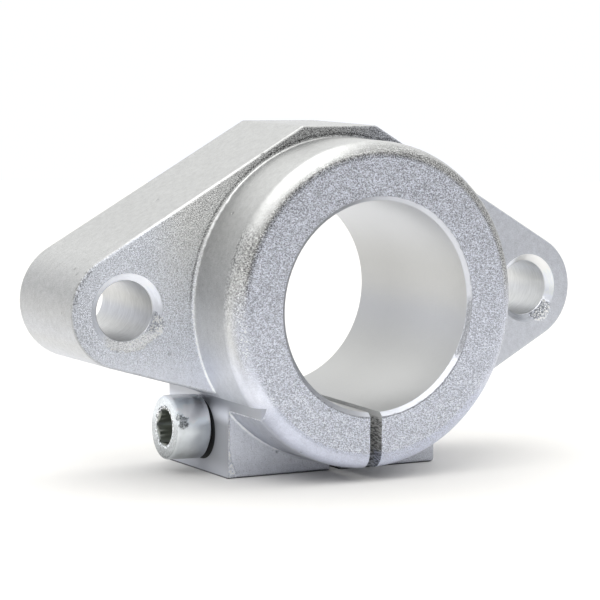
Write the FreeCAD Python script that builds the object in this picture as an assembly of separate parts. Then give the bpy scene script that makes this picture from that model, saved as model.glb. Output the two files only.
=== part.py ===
import FreeCAD, Part
import math
import os
from FreeCAD import Vector

# Flange-type shaft support: a cast aluminium block that clamps a round shaft, and its clamp screw.
# Sizes are in millimetres. The origin is on the shaft's axis at the mounting face. +Y points out of
# the mounting face, so the hub's nose is at -Y, +X runs from the left ear to the right one as seen
# from the nose, and +Z is up, away from the clamp lugs.

# Shaft bore and hub
bore_d = 25.0
length = 25.0
hub_d = 40.0
hub_edge_r = 2.2
bore_chamfer = 0.5

# Flange and its ears; outline sizes hold at the mounting face
flange_t = 15.5
ear_spacing = 56.0
ear_r = 7.2
ear_hole_d = 7.0
ear_hole_chamfer = 0.9
top_height = 21.4
top_width = 10.4
top_corner_r = 1.0

# Casting: every outer side leans in towards the nose, and its edges are slightly rounded
draft = 1.5
cast_edge_r = 0.4
root_r = 0.4

# Clamp lugs below the hub. Their flanks run from the top of each lug to touch the ear, and the foot
# is cut slightly out of square, lower on the right.
lug_left = 16.0
lug_top_left = 11.15
lug_right = 14.5
lug_top_right = 15.3
lug_corner_r = 0.5
foot_tilt = 1.3
slit_w = 1.6
slit_x = -0.45

# Seat: a flat milled down the left side of lug and hub, parallel to that side
seat_out = 15.55
seat_top = 10.9

# Clamp screw: hexagon socket cap screw, tapped into the right lug. Its hole slopes down away from
# the head, and the screw isn't tightened, so the head stands off the seat, more below than above.
screw_back = 8.5
screw_depth = 15.45
screw_tilt = 3.0
foot_below_screw = 6.05
screw_d = 5.0
screw_length = 25.0
head_d = 7.8
head_h = 4.35
head_edge_r = 0.4
socket_flats = 4.0
socket_depth = 2.5
socket_mouth = 0.3
tip_chamfer = 0.5
thread_clearance = 0.05
screw_hole_d = 5.5
screw_hole_chamfer = 0.4
head_gap = 0.55

slope_gain = math.tan(math.radians(draft))
bore_r = bore_d / 2
ear_x = ear_spacing / 2
foot_depth = screw_depth + foot_below_screw
past = 1.0
forward = Vector(0, -1, 0)
back = Vector(0, 1, 0)
down = Vector(0, 0, -1)


def unit(angle):
    """Unit vector in the XZ plane, by its angle in degrees from +X towards +Z."""
    a = math.radians(angle)
    return Vector(math.cos(a), 0, math.sin(a))


def flank_slope(across, away):
    """Slope in degrees of a straight side from a corner, across and away from the axis, to the ear."""
    span = ear_x - across
    return math.degrees(math.atan2(away, span) - math.asin(ear_r / math.hypot(span, away)))


def meet(side_a, side_b, y):
    """Point where two straight sides of the outline cross, each given as (normal angle, distance)."""
    na = unit(side_a[0])
    nb = unit(side_b[0])
    det = na.x * nb.z - na.z * nb.x
    x = (side_a[1] * nb.z - side_b[1] * na.z) / det
    z = (na.x * side_b[1] - nb.x * side_a[1]) / det
    return Vector(x, y, z)


# Outward normals of the outline's four flanks, as angles in the XZ plane
upper_slope = flank_slope(top_width / 2, top_height)
upper_right = 90 - upper_slope
upper_left = 90 + upper_slope
lower_left = 270 - flank_slope(lug_left, lug_top_left)
lower_right = flank_slope(lug_right, lug_top_right) - 90


def ear_centre(side, y):
    return Vector(side * ear_x, y, 0)


def ear_radius(y):
    return ear_r - abs(y) * slope_gain


def outline(y):
    """Corners of the outline at depth y, drawn in by the draft, by way of both ears' centres."""
    inset = abs(y) * slope_gain
    r = ear_radius(y)

    def flank(normal):
        return normal, abs(ear_x * unit(normal).x) + r

    top = (90, top_height - inset)
    foot = (-90 - foot_tilt, foot_depth - inset)
    lug_side_left = (180, lug_left - inset)
    lug_side_right = (0, lug_right - inset)
    return [
        ear_centre(1, y),
        ear_centre(1, y) + unit(upper_right) * r,
        meet(flank(upper_right), top, y),
        meet(top, flank(upper_left), y),
        ear_centre(-1, y) + unit(upper_left) * r,
        ear_centre(-1, y),
        ear_centre(-1, y) + unit(lower_left) * r,
        meet(flank(lower_left), lug_side_left, y),
        meet(lug_side_left, foot, y),
        meet(foot, lug_side_right, y),
        meet(lug_side_right, flank(lower_right), y),
        ear_centre(1, y) + unit(lower_right) * r,
    ]


def polygon_face(points):
    return Part.Face(Part.makePolygon(points + points[:1]))


def prism_between(rear, front):
    """Solid with flat sides between two outlines that have the same number of corners."""
    faces = [polygon_face(rear), polygon_face(front)]
    for i in range(len(rear)):
        faces.append(polygon_face([rear[i - 1], rear[i], front[i], front[i - 1]]))
    return Part.makeSolid(Part.makeShell(faces))


def make_ear(side, first, last):
    """Sector of a drafted round ear, from the first normal angle up to the last."""
    rear = ear_centre(side, 0)
    front = ear_centre(side, -flange_t)
    rim_rear = rear + unit(first) * ear_radius(0)
    rim_front = front + unit(first) * ear_radius(-flange_t)
    return polygon_face([rear, rim_rear, rim_front, front]).revolve(rear, forward, last - first)


def depth_edges(shape, test):
    """Edges that run from the mounting face to the flange's front and whose ends pass the test."""
    return [
        e
        for e in shape.Edges
        if len(e.Vertexes) == 2
        and abs(e.Vertexes[0].Y - e.Vertexes[1].Y) > flange_t / 2
        and all(test(v.Point) for v in e.Vertexes)
    ]


def bar(axis, radius, start, end):
    """Cylinder from start to end along a unit vector."""
    return Part.makeCylinder(radius, (end - start).Length, start, axis)


def countersink(radius, size, rim, inward):
    """Cone that takes a 45 degree chamfer off a hole's rim; inward is the way into the hole."""
    return Part.makeCone(radius + size + past, radius - past, size + 2 * past, rim - inward * past, inward)


def make_flange():
    """Flange, ears and lugs: one drafted plate with rounded corners and front edges."""
    block = prism_between(outline(0), outline(-flange_t))
    ears = [make_ear(1, lower_right, upper_right), make_ear(-1, upper_left, lower_left)]
    block = block.fuse(ears).removeSplitter()
    block = block.makeFillet(top_corner_r, depth_edges(block, lambda p: p.z > ear_r * 2))
    block = block.makeFillet(lug_corner_r, depth_edges(block, lambda p: p.z < -ear_r * 2.4))
    front = [e for e in block.Edges if all(abs(v.Y + flange_t) < 1e-4 for v in e.Vertexes)]
    return block.makeFillet(cast_edge_r, front)


def make_hub():
    """Hub: a drafted round boss with a large radius round its nose."""
    nose_r = hub_d / 2 - length * slope_gain
    hub = Part.makeCone(hub_d / 2, nose_r, length, Vector(0, 0, 0), forward)
    nose = [e for e in hub.Edges if abs(e.BoundBox.YMin + length) < 1e-4 and abs(e.BoundBox.YMax + length) < 1e-4]
    return hub.makeFillet(hub_edge_r, nose)


def hub_root(body):
    """Edges of the circle where the hub rises from the flange's front face."""
    r = hub_d / 2 - flange_t * slope_gain
    circles = [e for e in body.Edges if isinstance(e.Curve, Part.Circle) and abs(e.Curve.Radius - r) < 1e-3]
    return [e for e in circles if abs(e.Vertexes[0].Y + flange_t) < 1e-3]


def on_seat(y, z):
    """Point of the seat at depth y and height z."""
    return Vector(-seat_out - y * slope_gain, y, z)


def seat_cut():
    """Everything outside the seat, below its top."""
    near = on_seat(-length - past, -seat_top)
    far = on_seat(past, -seat_top)
    aside = Vector(-hub_d, 0, 0)
    return polygon_face([near, far, far + aside, near + aside]).extrude(down * foot_depth)


def screw_axis():
    """Direction of the clamp screw from its head to its tip, and where its axis meets the seat."""
    return unit(-screw_tilt), on_seat(-screw_back, -screw_depth)


def make_body():
    """The whole casting with its machined bore, slit, ear holes, screw holes and seat."""
    body = make_flange().fuse(make_hub()).removeSplitter()
    body = body.makeFillet(root_r, hub_root(body))

    cuts = [seat_cut()]
    cuts.append(bar(forward, bore_r, Vector(0, past, 0), Vector(0, -length - past, 0)))
    cuts.append(countersink(bore_r, bore_chamfer, Vector(0, -length, 0), back))
    for x in (-ear_x, ear_x):
        r = ear_hole_d / 2
        cuts.append(bar(forward, r, Vector(x, past, 0), Vector(x, -flange_t - past, 0)))
        cuts.append(countersink(r, ear_hole_chamfer, Vector(x, -flange_t, 0), back))

    slit_height = foot_depth + past
    corner = Vector(slit_x - slit_w / 2, -length - past, -slit_height)
    cuts.append(Part.makeBox(slit_w, length + 2 * past, slit_height, corner))

    axis, seat = screw_axis()
    middle = seat + axis * ((slit_x - seat.x) / axis.x)
    far = seat + axis * ((lug_right - screw_back * slope_gain - seat.x) / axis.x)
    cuts.append(bar(axis, screw_hole_d / 2, seat - axis * past, middle))
    cuts.append(bar(axis, screw_d / 2, middle, far + axis * past))
    cuts.append(countersink(screw_d / 2, screw_hole_chamfer, far, -axis))
    return body.cut(cuts)


def make_screw():
    """Socket cap screw: made along +X from the underside of its head, then put on its axis."""
    along = Vector(1, 0, 0)
    under_head = Vector(0, 0, 0)
    head_face = under_head - along * head_h
    tip = under_head + along * screw_length
    shank_r = screw_d / 2 - thread_clearance

    head = bar(along, head_d / 2, head_face, under_head)
    rim = [e for e in head.Edges if abs(e.BoundBox.XMax - head_face.x) < 1e-4]
    head = head.makeFillet(head_edge_r, rim)
    shank = bar(along, shank_r, under_head, tip)
    end = [e for e in shank.Edges if abs(e.BoundBox.XMin - tip.x) < 1e-4]
    shank = shank.makeChamfer(tip_chamfer, end)

    corner_r = socket_flats / 2 / math.cos(math.radians(30))
    corners = [math.radians(60 * i) for i in range(6)]
    points = [head_face + Vector(0, math.sin(a), math.cos(a)) * corner_r for a in corners]
    socket = polygon_face(points).extrude(along * socket_depth)
    mouth = countersink(socket_flats / 2, socket_mouth, head_face, along)
    screw = head.fuse(shank).cut([socket, mouth]).removeSplitter()

    axis, seat = screw_axis()
    screw.rotate(under_head, back, screw_tilt)
    screw.translate(seat - axis * head_gap)
    return screw


os.makedirs("parts", exist_ok=True)
parts = {"support_body": make_body(), "clamp_screw": make_screw()}
for name, shape in parts.items():
    shape.exportStep(f"parts/{name}.step")
    print(name, "valid", shape.isValid(), "solids", len(shape.Solids), "volume", round(shape.Volume, 1))
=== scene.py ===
import math

import bmesh
import bpy
from mathutils import Matrix, Vector


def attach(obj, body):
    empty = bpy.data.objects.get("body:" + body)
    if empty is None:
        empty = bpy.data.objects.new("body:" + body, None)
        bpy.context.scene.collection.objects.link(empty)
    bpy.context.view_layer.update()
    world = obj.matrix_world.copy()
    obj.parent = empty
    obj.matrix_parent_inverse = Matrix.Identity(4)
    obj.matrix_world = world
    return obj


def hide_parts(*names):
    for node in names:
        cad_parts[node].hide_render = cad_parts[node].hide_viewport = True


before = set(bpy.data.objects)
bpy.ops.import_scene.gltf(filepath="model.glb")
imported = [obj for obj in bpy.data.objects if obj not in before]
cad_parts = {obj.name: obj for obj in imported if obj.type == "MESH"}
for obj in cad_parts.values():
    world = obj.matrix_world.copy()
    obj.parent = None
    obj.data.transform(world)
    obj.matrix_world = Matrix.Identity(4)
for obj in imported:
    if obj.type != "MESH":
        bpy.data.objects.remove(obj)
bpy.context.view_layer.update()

# The frame is in metres. Sizes here are in millimetres, unless a line says otherwise.
scene = bpy.context.scene
MM = 0.001

# Casting: the shaft's axis is Y, and the nose looks towards -Y
DRAFT = math.tan(math.radians(1.5))
BORE_R = 12.5
NOSE_Y = -25.0
FLANGE_Y = -15.5
EAR_X = 28.0
EAR_HOLE_R = 3.5
SEAT_X = -15.55
SEAT_TOP = -10.9
SLIT_X = -0.45
SLIT_HALF = 0.8
LUG_END = 14.28

# Painted shade: a dark ring on the seat, in the gap behind the screw's head
GAP_SHADE_Y = -8.5
GAP_SHADE_Z = -15.72
GAP_SHADE_R = 3.74

# Foot: a point of it and its normal. It leans with the draft, and a little to the right.
FOOT_POINT = Vector((7.0, -7.75, -21.4614))
FOOT_UP = Vector((0.02268, 0.026177, 0.9994))

# Clamp screw, M5: its tilt, its way down the hole, the middle of its head's underside, and its shape.
# The underside's edge is given as places along the axis with how far in they are. The thread's root
# and flank are shares of half a pitch.
SCREW_TILT = math.radians(3.0)
SCREW_AXIS = Vector((math.cos(SCREW_TILT), 0, -math.sin(SCREW_TILT)))
UNDER_HEAD = Vector((-15.877, -8.5, -15.421))
HEAD_R = 3.9
HEAD_H = 4.35
HEAD_EDGE_R = 0.4
HEAD_EDGE_STEPS = 6
UNDERSIDE_EDGE = ((-0.12, 0.0), (-0.03, 0.05), (0.0, 0.14))
SOCKET_FLATS = 4.0
SOCKET_DEPTH = 2.5
SOCKET_MOUTH = 0.3
SOCKET_MOUTH_STEPS = 3
DRILL_R = 1.9
DRILL_TIP_R = 0.05
DRILL_POINT = 0.5
SHANK_R = 2.45
SCREW_LENGTH = 25.0
TIP_CHAMFER = 0.5
PITCH = 0.8
THREAD_DEPTH = 0.49
THREAD_ROOT = 0.2
THREAD_FLANK = 0.68
HEAD_STEPS = 96
THREAD_STEPS = 64
ROWS_PER_TURN = 10
SHARP_ANGLE = math.radians(40)
MERGE_DISTANCE = 1e-4

# Tapped hole: its ridges start a little past the screw's tip and end short of the lug's side, and
# their roots sink into the wall
TAPPED_R = 2.5
TAPPED_DEPTH = 0.4
TAPPED_SINK = 0.02
TAPPED_START = 0.4
TAPPED_END = 0.45
RUN_OUT = 0.4

# Camera, fitted to the photograph
CAMERA_AZIMUTH = -29.18
CAMERA_ELEVATION = 6.54
CAMERA_ROLL = 0.265
CAMERA_DISTANCE = 222.3
CAMERA_TARGET = Vector((0, -12.5, 0))
CAMERA_RIGHT = -3.33
CAMERA_UP = -0.42
FOCAL_LENGTH = 108.5
SENSOR_WIDTH = 36.0
CLIP_START = 10.0

FLOOR_HALF = 2000.0

# Softboxes: warm white rectangles that face the object
SOFTBOX_AWAY = 600.0
SOFTBOX_WIDTH = 400.0
SOFTBOX_HEIGHT = 300.0
SOFTBOX_COLOUR = (1.0, 0.99, 0.97)


def bearing(azimuth, elevation):
    """Unit vector from the object towards a place round it, by azimuth and elevation in degrees."""
    a, e = math.radians(azimuth), math.radians(elevation)
    return Vector((math.sin(a) * math.cos(e), -math.cos(a) * math.cos(e), math.sin(e)))


def axes_towards(azimuth, elevation, roll=0.0):
    """Right, up and back vectors of something that looks at the object from there."""
    back = bearing(azimuth, elevation)
    right = Vector((0, 0, 1)).cross(back).normalized()
    up = back.cross(right)
    turn = Matrix.Rotation(math.radians(roll), 3, back)
    return turn @ right, turn @ up, back


def placed(right, up, back, origin):
    """Matrix that puts local X, Y and Z along those vectors, at an origin in millimetres."""
    matrix = Matrix((right, up, back)).transposed().to_4x4()
    matrix.translation = origin * MM
    return matrix


def add_object(name, data):
    thing = bpy.data.objects.new(name, data)
    scene.collection.objects.link(thing)
    return thing


def make_camera():
    right, up, back = axes_towards(CAMERA_AZIMUTH, CAMERA_ELEVATION, CAMERA_ROLL)
    lens = bpy.data.cameras.new("camera")
    lens.sensor_width = SENSOR_WIDTH
    lens.lens = FOCAL_LENGTH
    lens.clip_start = CLIP_START * MM
    camera = add_object("camera", lens)
    eye = CAMERA_TARGET + back * CAMERA_DISTANCE + right * CAMERA_RIGHT + up * CAMERA_UP
    camera.matrix_world = placed(right, up, back, eye)
    scene.camera = camera


def make_floor():
    """Plain floor that touches the foot all over, so it leans as the foot does."""
    half = FLOOR_HALF * MM
    mesh = bpy.data.meshes.new("floor")
    corners = [(-half, -half, 0), (half, -half, 0), (half, half, 0), (-half, half, 0)]
    mesh.from_pydata(corners, [], [(0, 1, 2, 3)])
    mesh.materials.append(floor_paint())
    thing = add_object("floor", mesh)
    right = Vector((0, 1, 0)).cross(FOOT_UP).normalized()
    thing.matrix_world = placed(right, FOOT_UP.cross(right), FOOT_UP, FOOT_POINT)
    return thing


class Term:
    """A number that a node tree works out at each point, with arithmetic as for plain numbers."""

    def __init__(self, nodes, socket):
        self.nodes = nodes
        self.socket = socket

    def __add__(self, other):
        return self.nodes.math("ADD", self, other)

    def __sub__(self, other):
        return self.nodes.math("SUBTRACT", self, other)

    def __rsub__(self, other):
        return self.nodes.math("SUBTRACT", other, self)

    def __mul__(self, other):
        return self.nodes.math("MULTIPLY", self, other)

    def __truediv__(self, other):
        return self.nodes.math("DIVIDE", self, other)

    def __neg__(self):
        return self * -1.0

    def __abs__(self):
        return self.nodes.math("ABSOLUTE", self)

    def ramp(self, low, high, to_low=0.0, to_high=1.0):
        """Maps low..high to to_low..to_high smoothly, and holds the ends."""
        node = self.nodes.add("ShaderNodeMapRange", interpolation_type="SMOOTHSTEP")
        for value, socket in zip((self, low, high, to_low, to_high), node.inputs):
            self.nodes.put(value, socket)
        return Term(self.nodes, node.outputs[0])

    def below(self, low, high):
        """1 up to low, falling to 0 at high."""
        return self.ramp(low, high, 1.0, 0.0)

    def near(self, target, reach):
        """1 at the target, falling to 0 at the reach either side."""
        return abs(self - target).below(reach * 0.6, reach)

    def scaled(self, mask, share):
        """Multiplied by 1 + share where the mask is 1."""
        return self * (mask * share + 1.0)

    def towards(self, other, mask):
        """The other value where the mask is 1."""
        return mask * (other - self) + self


def largest(first, *others):
    for other in others:
        first = first.nodes.math("MAXIMUM", first, other)
    return first


def smaller(first, other):
    return first.nodes.math("MINIMUM", first, other)


def length(first, *others):
    """Length of the vector with those parts."""
    total = first * first
    for part in others:
        total = total + part * part
    return total.nodes.math("SQRT", total)


class Nodes:
    """A node tree, with short calls to add and join its nodes."""

    def __init__(self, tree):
        self.tree = tree
        self.coordinates = self.add("ShaderNodeTexCoord")

    def join(self, source, target):
        self.tree.links.new(source, target)

    def put(self, value, target):
        """Sets a socket, or joins a term to it."""
        if isinstance(value, Term):
            self.join(value.socket, target)
        else:
            target.default_value = value

    def add(self, kind, **settings):
        node = self.tree.nodes.new(kind)
        for key, value in settings.items():
            setattr(node, key, value)
        return node

    def math(self, operation, *values):
        node = self.add("ShaderNodeMath", operation=operation)
        for value, socket in zip(values, node.inputs):
            self.put(value, socket)
        return Term(self, node.outputs[0])

    def split(self, vector):
        """The three parts of a vector."""
        node = self.add("ShaderNodeSeparateXYZ")
        self.join(vector, node.inputs[0])
        return [Term(self, part) for part in node.outputs]

    def position(self):
        """The point's coordinates, in millimetres."""
        return [part * (1.0 / MM) for part in self.split(self.coordinates.outputs["Object"])]

    def in_steps(self, sizes):
        """The point's coordinates, counted in steps of those sizes along X, Y and Z."""
        node = self.add("ShaderNodeMapping")
        self.join(self.coordinates.outputs["Object"], node.inputs["Vector"])
        node.inputs["Scale"].default_value = [1.0 / (size * MM) for size in sizes]
        return node.outputs[0]

    def noise(self, size, detail=3.0, roughness=0.5, stretch=(1, 1, 1)):
        """Noise from 0 to 1 whose grains are about that size, times the stretch along X, Y and Z."""
        node = self.add("ShaderNodeTexNoise", noise_dimensions="3D")
        self.join(self.in_steps([size * times for times in stretch]), node.inputs["Vector"])
        node.inputs["Scale"].default_value = 1.0
        node.inputs["Detail"].default_value = detail
        node.inputs["Roughness"].default_value = roughness
        return Term(self, node.outputs["Fac"])

    def spots(self, spacing):
        """Distance from the nearest of some scattered points, in steps of their spacing."""
        node = self.add("ShaderNodeTexVoronoi", voronoi_dimensions="3D")
        self.join(self.in_steps([spacing] * 3), node.inputs["Vector"])
        node.inputs["Scale"].default_value = 1.0
        return Term(self, node.outputs["Distance"])

    def bump(self, height, depth, strength=1.0, normal=None):
        """Normal bumped by a height from 0 to 1 that is that deep, on top of another normal."""
        node = self.add("ShaderNodeBump")
        self.put(height, node.inputs["Height"])
        node.inputs["Distance"].default_value = depth * MM
        node.inputs["Strength"].default_value = strength
        if normal is not None:
            self.join(normal, node.inputs["Normal"])
        return node.outputs[0]

    def colour(self, red, green, blue):
        node = self.add("ShaderNodeCombineColor")
        for value, socket in zip((red, green, blue), node.inputs):
            self.put(value, socket)
        return node.outputs[0]


def new_material(name):
    """A new material, its nodes and its shader."""
    material = bpy.data.materials.new(name)
    material.use_nodes = True
    material.node_tree.nodes.clear()
    n = Nodes(material.node_tree)
    shader = n.add("ShaderNodeBsdfPrincipled")
    n.join(shader.outputs[0], n.add("ShaderNodeOutputMaterial").inputs[0])
    return material, n, shader


class Casting:
    """A point of the casting: its coordinates and its normal, and masks that are 1 at their place and
    0 elsewhere. Left and right are as seen from the nose."""

    def __init__(self, n):
        self.n = n
        self.x, self.y, self.z = n.position()
        self.nx, self.ny, self.nz = n.split(n.coordinates.outputs["Normal"])
        self.radius = self.from_line(0.0)
        self.ahead = -self.ny
        self.fine = n.noise(0.12, detail=2.0, stretch=(1.5, 1.0, 1.0)).ramp(0.30, 0.70)
        self.passes = n.noise(0.16, roughness=0.6, stretch=(60, 1, 1))
        self.find_machined()
        self.find_faces()
        self.find_damage()
        self.find_wear_and_highlights()
        self.find_painted_dark_lines()

    def from_line(self, x, z=0.0):
        """Distance from the line along Y at x and z."""
        return length(self.x - x, self.z - z)

    def halves(self, left, right):
        """One value on the left half and the other on the right half, blended in the middle."""
        return self.x.ramp(-5.0, 5.0, left, right)

    def find_machined(self):
        """The bore with its chipped mouth, the ear holes, the seat, the slit and the back."""
        chips = (self.n.noise(0.35, roughness=0.7) * 0.5 - 0.25) * self.x.ramp(-2.0, 4.0)
        chipped = self.radius + chips
        self.bore_wall = self.radius.below(BORE_R + 0.02, BORE_R + 0.06)
        chamfer_front = self.y.ramp(NOSE_Y + 0.7, NOSE_Y + 0.6)
        missing = self.x.ramp(9.5, 10.2) * self.z.ramp(1.0, -0.5) * self.z.ramp(-7.0, -5.5)
        missing = missing * chipped.ramp(BORE_R + 0.05, BORE_R + 0.15)
        mouth = chipped.below(BORE_R + 0.46, BORE_R + 0.54).scaled(missing, -0.8)
        self.mouth = mouth * largest(self.bore_wall, chamfer_front)

        hole_radius = smaller(self.from_line(EAR_X), self.from_line(-EAR_X))
        self.hole_wall = hole_radius.below(EAR_HOLE_R + 0.02, EAR_HOLE_R + 0.06)
        self.past_wall = hole_radius.ramp(EAR_HOLE_R + 0.02, EAR_HOLE_R + 0.08)
        chamfer_front = self.y.ramp(FLANGE_Y + 1.2, FLANGE_Y + 1.1)
        hole = hole_radius.below(EAR_HOLE_R + 0.86, EAR_HOLE_R + 0.94)
        self.hole = hole * largest(self.hole_wall, chamfer_front)
        self.chamfer = self.hole * self.past_wall
        self.chamfer_left = self.chamfer * self.nx.ramp(0.15, 0.45)
        self.chamfer_top = self.chamfer * self.nz.ramp(0.0, -0.3) * self.halves(1.0, 0.0)

        self.seat_x = self.y * -DRAFT + SEAT_X
        self.seat = self.x.near(self.seat_x, 0.05) * self.z.below(SEAT_TOP, SEAT_TOP + 0.05)
        self.lug_seat = self.seat * self.z.ramp(-11.5, -14.0) * self.y.ramp(FLANGE_Y - 1.0, FLANGE_Y + 0.5)
        in_slit = abs(self.x - SLIT_X).below(SLIT_HALF + 0.01, SLIT_HALF + 0.04)
        self.slit = in_slit * self.z.ramp(-11.0, -12.0)
        self.back = self.ny.ramp(0.9, 0.98) * self.y.ramp(-0.1, -0.03)
        self.smooth = largest(self.mouth, self.hole, self.seat)

    def find_faces(self):
        """Faces by the way they look. Right flange and back are calm: they have a weaker grain."""
        self.forward = self.ahead.ramp(0.35, 0.95)
        self.facing_down = (-self.nz).ramp(0.2, 0.9)
        self.sideways = abs(self.nx).ramp(0.7, 0.98)
        self.nose = self.y.ramp(NOSE_Y + 3.0, NOSE_Y + 1.0)
        self.rounding = self.y.ramp(NOSE_Y + 2.6, NOSE_Y + 2.0)
        self.plate = self.forward * self.y.ramp(FLANGE_Y - 1.5, FLANGE_Y - 0.1)
        self.hub_side = self.radius.ramp(18.8, 19.3) * self.y.ramp(FLANGE_Y, FLANGE_Y - 0.4)
        self.flange_top = self.nz.ramp(0.2, 0.9) * self.y.ramp(FLANGE_Y - 0.1, FLANGE_Y + 0.5)
        self.right_flange = self.x.ramp(8.0, 20.0) * (1.0 - self.nose)
        self.calm = largest(self.right_flange, self.back)

    def find_damage(self):
        """Pits, the chipped front edge of the left lug, and the torn rims of the ear holes."""
        self.pit = self.n.spots(3.2).below(0.05, 0.09) * (1.0 - self.smooth)

        edge_out = self.x - self.seat_x
        width = self.z.ramp(-21.5, -17.0, 1.5, 0.26) * (self.n.noise(0.5, detail=2.0) * 1.2 + 0.4)
        spall = (edge_out / width).below(0.7, 1.0) * self.z.ramp(-11.5, -12.5)
        self.spall = spall * (1.0 - self.seat) * edge_out.below(2.0, 3.0)

        tears = self.n.noise(0.6, roughness=0.7)
        tear_right = self.from_line(EAR_X + 2.1, -2.7)
        tear_left = self.from_line(-EAR_X + 3.0, -1.8)
        torn = (smaller(tear_right, tear_left) + tears).below(1.9, 2.3)
        self.torn = torn * self.past_wall * self.y.below(FLANGE_Y + 0.6, FLANGE_Y + 0.9)
        scraped = (self.from_line(-EAR_X) + tears * 1.6).below(5.4, 5.6)
        scraped = scraped * self.z.ramp(-2.3, -3.0) * self.x.ramp(-EAR_X - 3.2, -EAR_X - 2.2)
        self.scraped = scraped * self.past_wall * self.y.ramp(FLANGE_Y + 1.0, FLANGE_Y + 0.8)

    def find_wear_and_highlights(self):
        """The nose's worn edge with a painted highlight, up to 1.3 at its bottom, with how much lighter it
        is painted, and in places darker; the left part of the nose's rounding; and the flange's front
        edge, with painted light and shade."""
        ragged = self.n.noise(0.7, roughness=0.6) - 0.5
        edge = self.radius + ragged + self.z.ramp(-3.0, -10.0, 0.0, 0.9)
        starts = ragged * 0.8 + self.z.ramp(-3.0, -10.0, NOSE_Y + 2.4, NOSE_Y + 2.1)
        up_right = self.x + self.z
        above_and_below = largest(self.z.ramp(3.0, 9.0), self.z.ramp(-7.0, -12.0, 0.0, 1.3))
        worn_highlight = edge.ramp(17.9, 18.3) * (self.y - starts).ramp(0.0, -0.7)
        self.worn_highlight = worn_highlight * up_right.below(9.0, 16.0) * above_and_below

        # Painted light and shade along the worn edge: lighter towards the upper right, darker towards the
        # left and the bottom left
        side = self.x.ramp(-14.0, -2.0, -0.05, 0.07)
        upper = self.y.ramp(NOSE_Y + 2.0, NOSE_Y + 1.4, side, up_right.ramp(-12.0, 9.0, -0.12, 0.22))
        lower = self.z.ramp(-13.0, -8.0, self.x.ramp(-14.5, -11.0, -0.12, 0.01), 0.12)
        self.painted_band_light_and_shade = self.z.ramp(-8.0, 0.0, lower, upper)

        self.left_band = self.radius.ramp(17.3, 17.9) * self.rounding * self.x.ramp(-9.0, -14.0)
        edge_on = self.ahead.ramp(0.1, 0.3) * self.ahead.ramp(0.97, 0.85)
        self.flange_edge_light_and_shade = edge_on * self.y.near(FLANGE_Y + 0.25, 0.35) * self.radius.ramp(19.6, 20.2)

    def find_painted_dark_lines(self):
        """Painted dark lines: a dark reflection round the nose's rim and on the left ear's edge, and shade
        in the corner under the hub.
        """
        rightwards = self.x.ramp(-2.0, 11.0)
        off_rim = abs(self.radius - (rightwards * 0.50 + 17.75)) / (rightwards * 0.40 + 0.42)
        rim = off_rim.below(0.5, 1.0) * self.y.ramp(NOSE_Y + 1.8, NOSE_Y + 1.2) * self.z.ramp(-2.0, 6.0)
        corner = self.radius.near(20.06, 0.17) * self.y.near(FLANGE_Y, 0.3) * self.z.ramp(-1.0, 2.0)
        ear = self.from_line(-EAR_X).near(6.62, 0.36) * self.y.ramp(FLANGE_Y + 0.5, FLANGE_Y + 0.3)
        ear = ear * self.x.ramp(-29.5, -32.0) * self.z.ramp(6.0, 4.8) * self.z.ramp(-1.0, 1.5)
        ear = ear * self.n.noise(0.3, detail=2.0).ramp(0.42, 0.55)
        self.painted_dark_lines = largest(rim, corner, ear) * self.fine.ramp(0.1, 0.9, 1.0, 0.35)


def grain_strength(c):
    """Strength of the blasted grain: most on the nose, least where it is machined or rubbed."""
    gain = c.forward * (c.nose * 0.85 + 0.70) + 0.40
    gain = gain.scaled(c.calm, -0.8).scaled(c.smooth - c.seat * 0.5, -0.85)
    rubbed = c.radius.ramp(17.2, 17.9) * c.z.ramp(-3.0, -9.0)
    gain = gain * (rubbed * c.halves(-0.85, -0.45) + 1.0)
    clean = c.z.ramp(6.0, 10.0) * c.x.ramp(1.0, -4.0) * c.ahead.ramp(0.93, 0.80)
    return gain.scaled(clean, -0.8)


def cast_normal(n, c, grain):
    """Normal of the casting: grain, lumps, the bore's turning marks, pits and the back's passes."""
    turned = n.noise(0.12, detail=1.0, stretch=(60, 1, 60)) * c.mouth
    broken = c.spall + largest(c.torn, c.scraped)
    normal = n.bump(c.fine * (broken * 1.4 + grain), 0.10)
    normal = n.bump(n.noise(1.8), 0.10, strength=0.5, normal=normal)
    normal = n.bump(turned, 0.01, normal=normal)
    normal = n.bump(-c.pit, 0.10, normal=normal)
    return n.bump(c.passes * c.back, 0.012, normal=normal)


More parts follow.
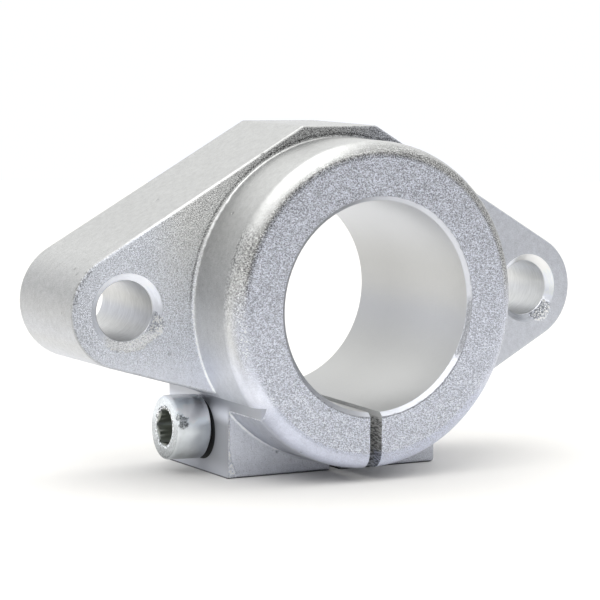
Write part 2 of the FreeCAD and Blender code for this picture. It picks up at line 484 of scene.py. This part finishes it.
def cast_level(n, c, grain):
    """Brightness of the blasted skin, with painted light and shade."""
    mottle = n.noise(0.7, detail=4.0, roughness=0.65) - 0.5
    level = (c.fine - 0.5) * grain * (c.plate * 0.12 + 0.26) + mottle * 0.22 + 0.52
    specks = n.noise(0.16, detail=1.0).ramp(0.62, 0.72)
    level = level - specks * (1.0 - c.calm) * (c.plate * 0.10 + 0.08)
    level = level + c.back * (c.passes - 0.4) * 0.16

    # The flange's front, from its left ear to its right one, with painted light and shade: lighter on the
    # left ear, low down and beside the hub, darker at the top and high on the right flange
    left_ear = c.x.ramp(-8.0, -24.0) * c.x.ramp(-35.0, -30.0, 0.3, 1.0)
    low = c.z.ramp(-10.0, -15.0) * c.z.ramp(-21.0, -17.0)
    beside_hub = c.z.ramp(-2.0, -6.0) * c.x.ramp(-23.0, -18.0) * c.x.ramp(-14.0, -16.0)
    top = c.z.ramp(14.0, 19.5)
    lift = left_ear * 0.13 + low * 0.08 + beside_hub * 0.06 - top * 0.24 + 0.04
    lift = lift + c.right_flange * c.z.ramp(-6.0, 6.0, 0.0, -0.06)
    level = level + c.plate * lift

    # The other faces, with painted light and shade: the nose lighter low down, faces that look down
    # lighter, tops darker, sides darker high and lighter low, and the hub's side lighter below its top
    # and, at its lower left, lighter higher up and darker at the bottom
    level = level + c.nose * c.forward * c.z.ramp(-14.0, 16.0, 0.16, 0.0)
    level = level + c.facing_down * 0.12 - c.flange_top * 0.04
    level = level + c.sideways * c.z.ramp(3.0, -2.5, -0.09, 0.04)
    lower_left = (c.z + c.x * 0.6).ramp(-9.0, -17.0) * c.z.ramp(-12.0, -9.5, -0.08, 0.06)
    level = level + c.hub_side * (c.z.ramp(7.0, 0.0, 0.0, 0.07) + lower_left)

    # Edges
    # Painted light and shade on the flange's front edge: darker low down, lighter high up
    level = level + c.flange_edge_light_and_shade * c.z.ramp(-3.0, 3.0, -0.09, 0.04)
    # Painted highlight on the nose's worn edge
    level = level + c.worn_highlight * c.painted_band_light_and_shade
    coarse = n.noise(0.24, detail=2.0, roughness=0.6).ramp(0.35, 0.65, -0.17, 0.15)
    coarse = coarse * c.z.ramp(-4.0, 1.0) * c.z.ramp(11.0, 8.0)
    # Left part of the nose's rounding: coarse speckle, and painted light low down
    level = level + c.left_band * (coarse + c.z.ramp(-1.0, 6.0, 0.12, 0.0))
    level = level + c.spall * n.noise(0.3, roughness=0.7).ramp(0.42, 0.56, 0.05, 0.46)
    # Painted highlight on the hub's side by its root, stronger low down
    root_highlight = c.radius.near(19.78, 0.16) * c.y.ramp(FLANGE_Y, FLANGE_Y - 0.05) * c.x.ramp(2.0, -5.0)
    level = level + root_highlight * c.z.ramp(4.0, -4.0, 0.14, 0.28)
    # Painted dark reflection and shade along the nose's rim, the hub's corner and the left ear's edge
    return level.scaled(c.painted_dark_lines, -0.58)


def machined_level(n, c):
    """Brightness of the bare metal in the bore, the ear holes and the seat, with painted light and shade.
    """
    # Painted light: the right ear hole lighter than the left
    level = c.hole * c.halves(-0.03, 0.31) + 0.52
    drilled = n.noise(0.30, detail=4.0, roughness=0.75, stretch=(5, 1, 6))
    level = level + c.hole * (drilled - 0.58) * 0.40
    # Painted shade: the bore's wall darker further in, lighter near the nose
    level = level + c.bore_wall * c.y.ramp(-21.0, -6.0, 0.06, -0.05)
    # Painted highlight round the right of the bore's mouth
    bore_edge = c.radius.near(BORE_R + 0.26, 0.30) * c.y.ramp(NOSE_Y + 0.6, NOSE_Y + 0.4)
    level = level + bore_edge * c.x.ramp(-4.0, 0.5, -0.02, 0.22)
    # Painted light on faces that look down, most on the ear holes' chamfers
    level = level + c.facing_down * (c.chamfer * 0.35 + 0.16)

    # Ear holes: chamfers, then walls, with painted light and shade: the chamfers lighter, most on their
    # left part and at the top of the left one, the right hole's chamfer and wall darker low down, and the
    # left hole's wall lighter on its right side
    level = level + c.chamfer * 0.12 + c.chamfer_left * 0.08 + c.chamfer_top * 0.22
    level = level - c.chamfer * c.halves(0.0, 0.60) * c.z.ramp(-0.8, -2.6)
    level = level - c.hole_wall * c.halves(0.0, 0.25) * c.z.ramp(-2.4, -3.4)
    level = level + c.hole_wall * c.halves(0.14, 0.0) * c.nx.ramp(0.0, -0.6)

    # Seat: painted light, brightest high on the lug and a little lighter low down; the whole seat a little
    # darker
    seat_lift = c.z.ramp(-12.6, -14.6, 0.64, -0.03) + c.z.ramp(-18.4, -20.4, 0.0, 0.12)
    return level + c.lug_seat * seat_lift - c.seat * 0.11


def marked_level(n, c, level):
    """The brightness with its marks: saw cuts, pits and torn metal, with painted shade along the bore's
    lower rim, down in the slit, along the foot's edge and in the gap behind the screw's head, and painted
    light high in the slit.
    """
    # Painted shade: a dark line round the lower part of the bore's mouth, just outside its chamfer
    bore_rim_shade = c.radius.near(BORE_R + 0.58, 0.10) * c.z.ramp(-2.0, -8.0)
    level = level.scaled(bore_rim_shade * c.y.ramp(NOSE_Y + 0.2, NOSE_Y + 0.1), -0.45)
    # Slit: saw marks, with painted shade down in it and painted light at its top by the bore
    saw = n.noise(0.16, detail=2.0, roughness=0.6, stretch=(8, 4, 1)).ramp(0.38, 0.62, 0.22, 0.66)
    level = level.towards(c.z.ramp(-13.5, -13.0, saw, 0.75), c.slit)
    level = level.scaled(c.pit, -0.3)
    gouges = n.noise(0.2, detail=2.0).ramp(0.40, 0.60, c.halves(-0.25, 0.0), c.halves(0.95, 2.6))
    level = level * (c.torn * gouges + 1.0)
    level = level.towards(c.fine.ramp(0.15, 0.5, 0.60, 1.0), c.scraped)

    # Painted shade: a dark band along the casting's bottom edge, where it meets the floor
    above_foot = c.x * (FOOT_UP.x / FOOT_UP.z) + c.z + c.y * (FOOT_UP.y / FOOT_UP.z)
    foot_contact_shade = above_foot.near(FOOT_POINT.dot(FOOT_UP) / FOOT_UP.z, 0.20)
    level = level.scaled(foot_contact_shade, -0.75)
    # Painted shade: the seat is darkened inside the ring, in the gap behind the screw's head
    ring = length(c.y - GAP_SHADE_Y, c.z - GAP_SHADE_Z).below(GAP_SHADE_R - 0.06, GAP_SHADE_R)
    return level.scaled(ring * c.seat, -0.93)


def cast_tint(n, c, level):
    """Colour of that brightness, with a painted reflection tint: bluish on faces that look forward or
    down, on the worn edge low down, on the chamfers, the lower hub and the lower left side, and nearly
    neutral on the upper middle of the flange's front and the top of the nose's rounding.
    """
    warm = c.plate * c.z.ramp(-4.0, 11.0) * c.x.ramp(8.0, -2.0) * c.x.ramp(-27.0, -20.0)
    upper_band = c.radius.ramp(17.5, 18.1) * c.rounding * c.z.ramp(-2.0, 5.0)
    warm = largest(warm, upper_band * c.forward)
    lower_hub = c.radius.ramp(17.5, 18.0) * c.z.ramp(-2.0, -8.0)
    left_side = c.sideways * c.z.ramp(1.0, -4.0) * c.x.ramp(-20.0, -25.0)
    reflected_blue = largest(c.forward - warm, c.worn_highlight * c.z.ramp(2.0, -8.0), c.facing_down * 0.5)
    reflected_blue = largest(reflected_blue, c.chamfer, lower_hub * 0.9, left_side * 0.6).scaled(c.scraped, -0.6)
    return n.colour(level, level * (reflected_blue * 0.026 + 1.008), level * (reflected_blue * (c.nose * 0.03 + 0.12) + 1.01))


def cast_aluminium():
    material, n, shader = new_material("cast_aluminium")
    c = Casting(n)
    grain = grain_strength(c)
    level = cast_level(n, c, grain).towards(machined_level(n, c), c.smooth)
    colour = cast_tint(n, c, marked_level(n, c, level))
    dull = largest(c.chamfer_left, c.chamfer_top, c.spall * c.fine.ramp(0.2, 0.8), c.lug_seat, c.scraped)
    rough = c.smooth * -0.06 + 0.44 + largest(c.slit, c.lug_seat) * 0.3
    n.join(cast_normal(n, c, grain), shader.inputs["Normal"])
    n.join(colour, shader.inputs["Base Color"])
    n.put(dull * -0.7 + 1.0, shader.inputs["Metallic"])
    n.put(rough, shader.inputs["Roughness"])
    return material


def plated_steel():
    material, n, shader = new_material("plated_steel")
    right, back, up = [at - start for at, start in zip(n.position(), UNDER_HEAD)]
    along = right * SCREW_AXIS.x + up * SCREW_AXIS.z
    off_axis = length(back, up * SCREW_AXIS.x - right * SCREW_AXIS.z)

    face = along.ramp(-4.25, -4.33) * off_axis.ramp(2.2, 2.4)
    socket = off_axis.below(2.05, 2.35) * along.ramp(-1.0, -1.5)
    burr = off_axis.near(2.35, 0.35) * along.ramp(-4.2, -4.3)
    cloudy = n.noise(1.8, detail=2.0)
    grain = n.noise(0.2, detail=2.0)
    blotchy = n.noise(0.9, roughness=0.6)

    level = cloudy.ramp(0.35, 0.65, 0.80, 0.92)
    # Painted light and shade: the head lighter at the top and darker towards the bottom
    level = level + up.ramp(-0.8, -3.4, 0.0, -0.32) + up.ramp(0.2, 1.6, 0.0, 0.18)
    level = level + face * n.noise(0.25, detail=2.0, roughness=0.6).ramp(0.3, 0.7, -0.34, -0.16)
    # Painted shade in the hex socket
    level = level.scaled(socket, -0.62)
    # A dark patch on the head's side
    mark = SCREW_AXIS * -3.62 + Vector((0, -3.68, 1.35))
    from_mark = length(right - mark.x, back - mark.y, up - mark.z)
    dark_patch = (from_mark + (blotchy - 0.5) * 2.0).below(0.60, 0.90) * grain.ramp(0.35, 0.65, 1.0, 0.6)
    level = level.scaled(dark_patch, -0.86)
    # Burrs round the socket's mouth: light specks, with painted shade at its top
    level = level + burr * grain.ramp(0.42, 0.58, up.ramp(0.4, 1.6, -0.45, -1.7), 1.0) * 0.42

    shader.inputs["Metallic"].default_value = 1.0
    # The socket's painted shade is also a little less blue
    n.join(n.colour(level * 0.955, level, level * (socket * -0.12 + 1.03)), shader.inputs["Base Color"])
    n.put(blotchy.ramp(0.35, 0.65, 0.34, 0.42), shader.inputs["Roughness"])
    normal = n.bump(grain * (burr * 2.0 + 0.06), 0.04)
    n.join(n.bump(cloudy, 0.03, strength=0.4, normal=normal), shader.inputs["Normal"])
    return material


def floor_paint():
    material, _, shader = new_material("floor_white")
    shader.inputs["Base Color"].default_value = (0.79, 0.78, 0.765, 1.0)
    shader.inputs["Roughness"].default_value = 0.8
    return material


def studio_world():
    """White tent: brighter overhead, with a darker stretch in front of the nose above the floor."""
    world = bpy.data.worlds.new("studio")
    world.use_nodes = True
    background = world.node_tree.nodes["Background"]
    n = Nodes(world.node_tree)
    _, back, up = n.split(n.coordinates.outputs["Generated"])
    sky = up.ramp(0.1, 0.5, 1.0, 1.05) + up.ramp(0.50, 0.72, 0.0, 0.62)
    dark = up.ramp(-0.02, 0.08) * up.below(0.3, 0.6) * (-back).ramp(0.05, 0.6) * 0.6
    n.put(sky * (1.0 - dark), background.inputs["Strength"])
    colour = n.colour(1.0, up.ramp(0.0, 0.5, 1.02, 1.0), up.ramp(0.0, 0.5, 1.1, 0.98))
    n.join(colour, background.inputs["Color"])
    return world


def clamp(value, low, high):
    return min(max(value, low), high)


def socket_radius(angle):
    """Radius of the hexagon socket at an angle round its axis."""
    sixth = math.radians(60)
    return SOCKET_FLATS / 2 / math.cos((angle + sixth / 2) % sixth - sixth / 2)


def round_ring(x, radius, count=HEAD_STEPS):
    """Ring round the X axis; radius is a number or a function of the angle."""
    ring = []
    for j in range(count):
        a = math.tau * j / count
        r = radius(a) if callable(radius) else radius
        ring.append((x, r * math.sin(a), r * math.cos(a)))
    return ring


def skin(rows, closed=False, cap_start=False, cap_end=False):
    """Points and faces of a skin over rows of points. Closed rows run round, and may have caps."""
    count = len(rows[0])
    points = [point for row in rows for point in row]
    faces = []
    for i in range(len(rows) - 1):
        for j in range(count if closed else count - 1):
            k = (j + 1) % count
            faces.append((i * count + j, i * count + k, (i + 1) * count + k, (i + 1) * count + j))
    if cap_start:
        faces.append(tuple(reversed(range(count))))
    if cap_end:
        faces.append(tuple(range(len(points) - count, len(points))))
    return points, faces


def joined(skins):
    """Several skins as one."""
    points, faces = [], []
    for more_points, more_faces in skins:
        base = len(points)
        faces += [tuple(base + i for i in face) for face in more_faces]
        points += more_points
    return points, faces


def add_piece(name, points, faces, material):
    """Piece from points in the screw's own axes, where X runs down it from under its head."""
    mesh = bpy.data.meshes.new(name)
    mesh.from_pydata(points, [], faces)
    mesh.materials.append(material)
    tilt = Matrix.Rotation(SCREW_TILT, 4, "Y")
    mesh.transform(Matrix.Translation(UNDER_HEAD * MM) @ tilt @ Matrix.Scale(MM, 4))
    edit = bmesh.new()
    edit.from_mesh(mesh)
    bmesh.ops.remove_doubles(edit, verts=edit.verts, dist=MERGE_DISTANCE * MM)
    bmesh.ops.dissolve_degenerate(edit, edges=edit.edges, dist=MERGE_DISTANCE * MM)
    bmesh.ops.recalc_face_normals(edit, faces=edit.faces)
    edit.to_mesh(mesh)
    edit.free()
    mesh.set_sharp_from_angle(angle=SHARP_ANGLE)
    return add_object(name, mesh)


def head_rings():
    """Rings of the head from the bottom of its socket, over its face and side, to its underside."""
    bottom = -HEAD_H + SOCKET_DEPTH
    rings = [round_ring(bottom + DRILL_POINT, DRILL_TIP_R), round_ring(bottom, DRILL_R)]
    rings.append(round_ring(bottom, socket_radius))
    for step in range(SOCKET_MOUTH_STEPS + 1):
        rise = SOCKET_MOUTH * step / SOCKET_MOUTH_STEPS
        cone = SOCKET_FLATS / 2 + rise
        rings.append(round_ring(-HEAD_H + SOCKET_MOUTH - rise, lambda a: max(socket_radius(a), cone)))
    for step in range(HEAD_EDGE_STEPS + 1):
        a = math.radians(90) * step / HEAD_EDGE_STEPS
        inset = HEAD_EDGE_R * (1 - math.sin(a))
        rings.append(round_ring(-HEAD_H + HEAD_EDGE_R * (1 - math.cos(a)), HEAD_R - inset))
    for x, inset in UNDERSIDE_EDGE:
        rings.append(round_ring(x, HEAD_R - inset))
    rings.append(round_ring(0.0, SHANK_R))
    return rings


def thread_height(phase):
    """Thread profile over one pitch, 0 at the root and 1 on the crest, both with a small flat."""
    rise = abs(phase % 1.0 - 0.5) * 2
    return clamp((rise - THREAD_ROOT) / THREAD_FLANK, 0.0, 1.0)


def thread_rings(start, end, radius):
    """Rings that follow the helix, so that crest and root keep their edges; radius(x, height)."""
    rings = []
    step = PITCH / ROWS_PER_TURN
    for i in range(-ROWS_PER_TURN, int((end - start) / step) + 2):
        height = thread_height(i / ROWS_PER_TURN)
        ring = []
        for j in range(THREAD_STEPS + 1):
            turn = j / THREAD_STEPS
            x = clamp(start + (i + turn * ROWS_PER_TURN) * step, start, end)
            r = radius(x, height)
            a = math.tau * turn
            ring.append((x, r * math.sin(a), r * math.cos(a)))
        rings.append(ring)
    return rings


def screw_radius(x, height):
    """Radius of the shank, whose thread runs in over one pitch and ends in the tip's chamfer."""
    depth = THREAD_DEPTH * clamp(x / PITCH, 0.0, 1.0)
    chamfer = SHANK_R - TIP_CHAMFER + SCREW_LENGTH - x
    return min(SHANK_R - depth * (1 - height), chamfer)


def make_screw(material):
    """The clamp screw, with the solid's shape and a rolled thread."""
    head = skin(head_rings(), closed=True, cap_start=True)
    thread = skin(thread_rings(0.0, SCREW_LENGTH, screw_radius))
    tip_r = SHANK_R - TIP_CHAMFER
    tip_rings = [round_ring(SCREW_LENGTH, r, THREAD_STEPS) for r in (tip_r - 0.001, tip_r * 0.5)]
    points, faces = joined([head, thread, skin(tip_rings, closed=True, cap_end=True)])
    return add_piece("threaded_clamp_screw", points, faces, material)


def make_tapped_thread(material):
    """Thread ridges in the far end of the tapped hole, past the screw's tip."""
    first = SCREW_LENGTH + TAPPED_START
    last = (LUG_END - UNDER_HEAD.x) / SCREW_AXIS.x - TAPPED_END

    def radius(x, height):
        run_out = clamp(min(x - first, last - x) / RUN_OUT, 0.0, 1.0)
        return TAPPED_R + TAPPED_SINK - (TAPPED_DEPTH + TAPPED_SINK) * height * run_out

    points, faces = skin(thread_rings(first, last, radius))
    return add_piece("tapped_hole_thread", points, faces, material)


def make_softbox(name, azimuth, elevation, power):
    """Area light that faces the object from that bearing, with its power in watts."""
    light = bpy.data.lights.new(name, "AREA")
    light.shape = "RECTANGLE"
    light.size = SOFTBOX_WIDTH * MM
    light.size_y = SOFTBOX_HEIGHT * MM
    light.energy = power
    light.color = SOFTBOX_COLOUR
    right, up, back = axes_towards(azimuth, elevation)
    add_object(name, light).matrix_world = placed(right, up, back, back * SOFTBOX_AWAY)


make_camera()
floor = make_floor()

finishes = {"support_body": cast_aluminium(), "clamp_screw": plated_steel()}
for name, material in finishes.items():
    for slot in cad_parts[name].material_slots:
        slot.material = material

screw = make_screw(finishes["clamp_screw"])
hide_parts("clamp_screw")
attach(screw, "screw")

tapped = make_tapped_thread(finishes["support_body"])
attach(tapped, "block")

make_softbox("upper_left", azimuth=-50, elevation=52, power=0.6)
make_softbox("overhead", azimuth=175, elevation=74, power=0.35)
scene.world = studio_world()
scene.view_settings.view_transform = "Standard"
